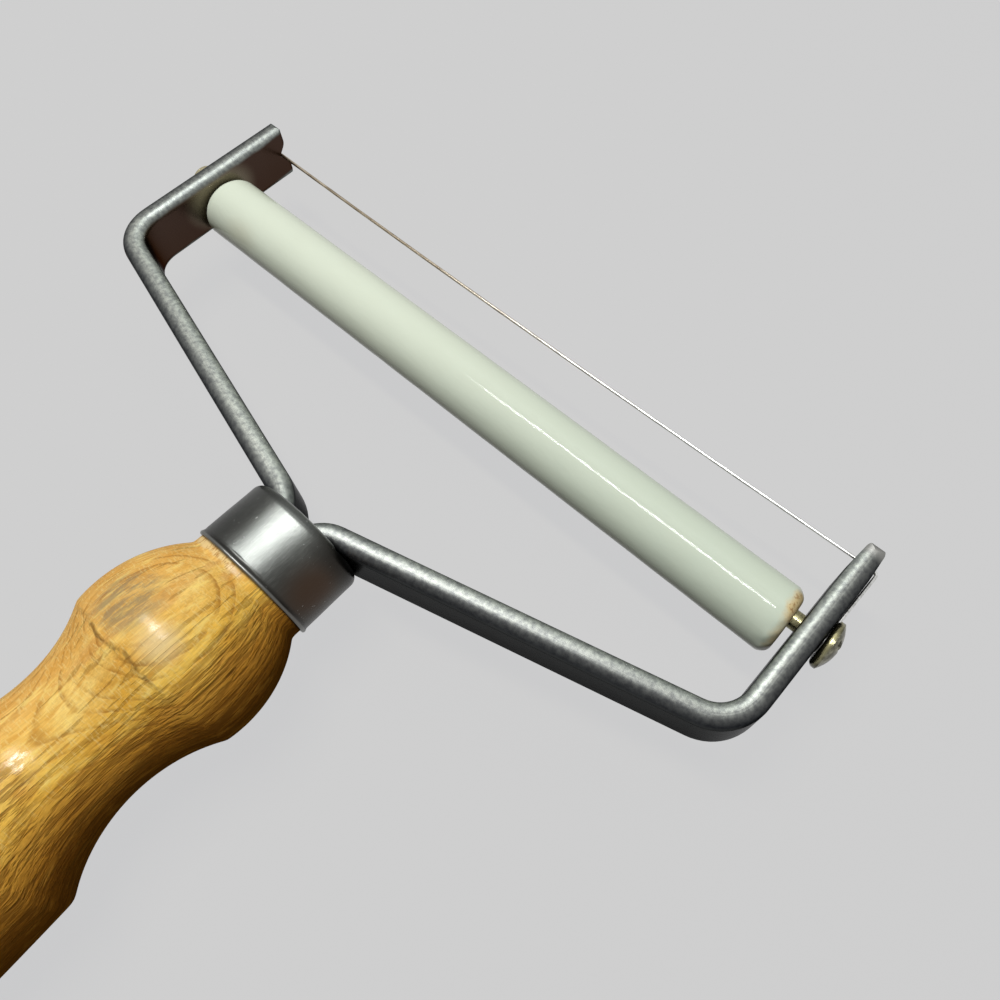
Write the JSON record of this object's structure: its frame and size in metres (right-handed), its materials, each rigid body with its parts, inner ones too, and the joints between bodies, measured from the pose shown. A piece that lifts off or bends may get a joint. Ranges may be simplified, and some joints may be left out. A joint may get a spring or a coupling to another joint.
{
  "type": "cheese slicer",
  "caption": "Hand cheese slicer: a turned wooden handle with a metal ferrule, a forked strip frame, a taut cutting wire and a loose roller that sets the slice.",
  "frame": {"origin": "centre of the flat butt face of the handle", "axes": "+Y along the handle's axis towards the cutting wire, +X along the roller and its axle, towards the screw's head, +Z square to the frame's plane"},
  "size_m": [0.1259, 0.1647, 0.027],
  "materials": {
    "oak": "varnished, worn",
    "ferrule_steel": "satin, finely scratched",
    "strip_steel": "dull plating",
    "screw_brass": "worn plating over brass",
    "roller_shell": "glossy, yellowed at its ends",
    "wire_steel": "drawn wire, dulled"
  },
  "bodies": {
    "frame": {"handle": "oak", "ferrule": "ferrule_steel", "left_arm": "strip_steel", "right_arm": "strip_steel", "axle_screw": "screw_brass", "axle_nut": "screw_brass", "cutting_wire": "wire_steel"},
    "roller": {"roller": "roller_shell"}
  },
  "joints": [
    {"name": "roller_spin", "type": "hinge", "parent": "frame", "child": "roller", "pos_m": [0, 0.15055, -0.0018], "axis": [1, 0, 0], "continuous": true}
  ]
}
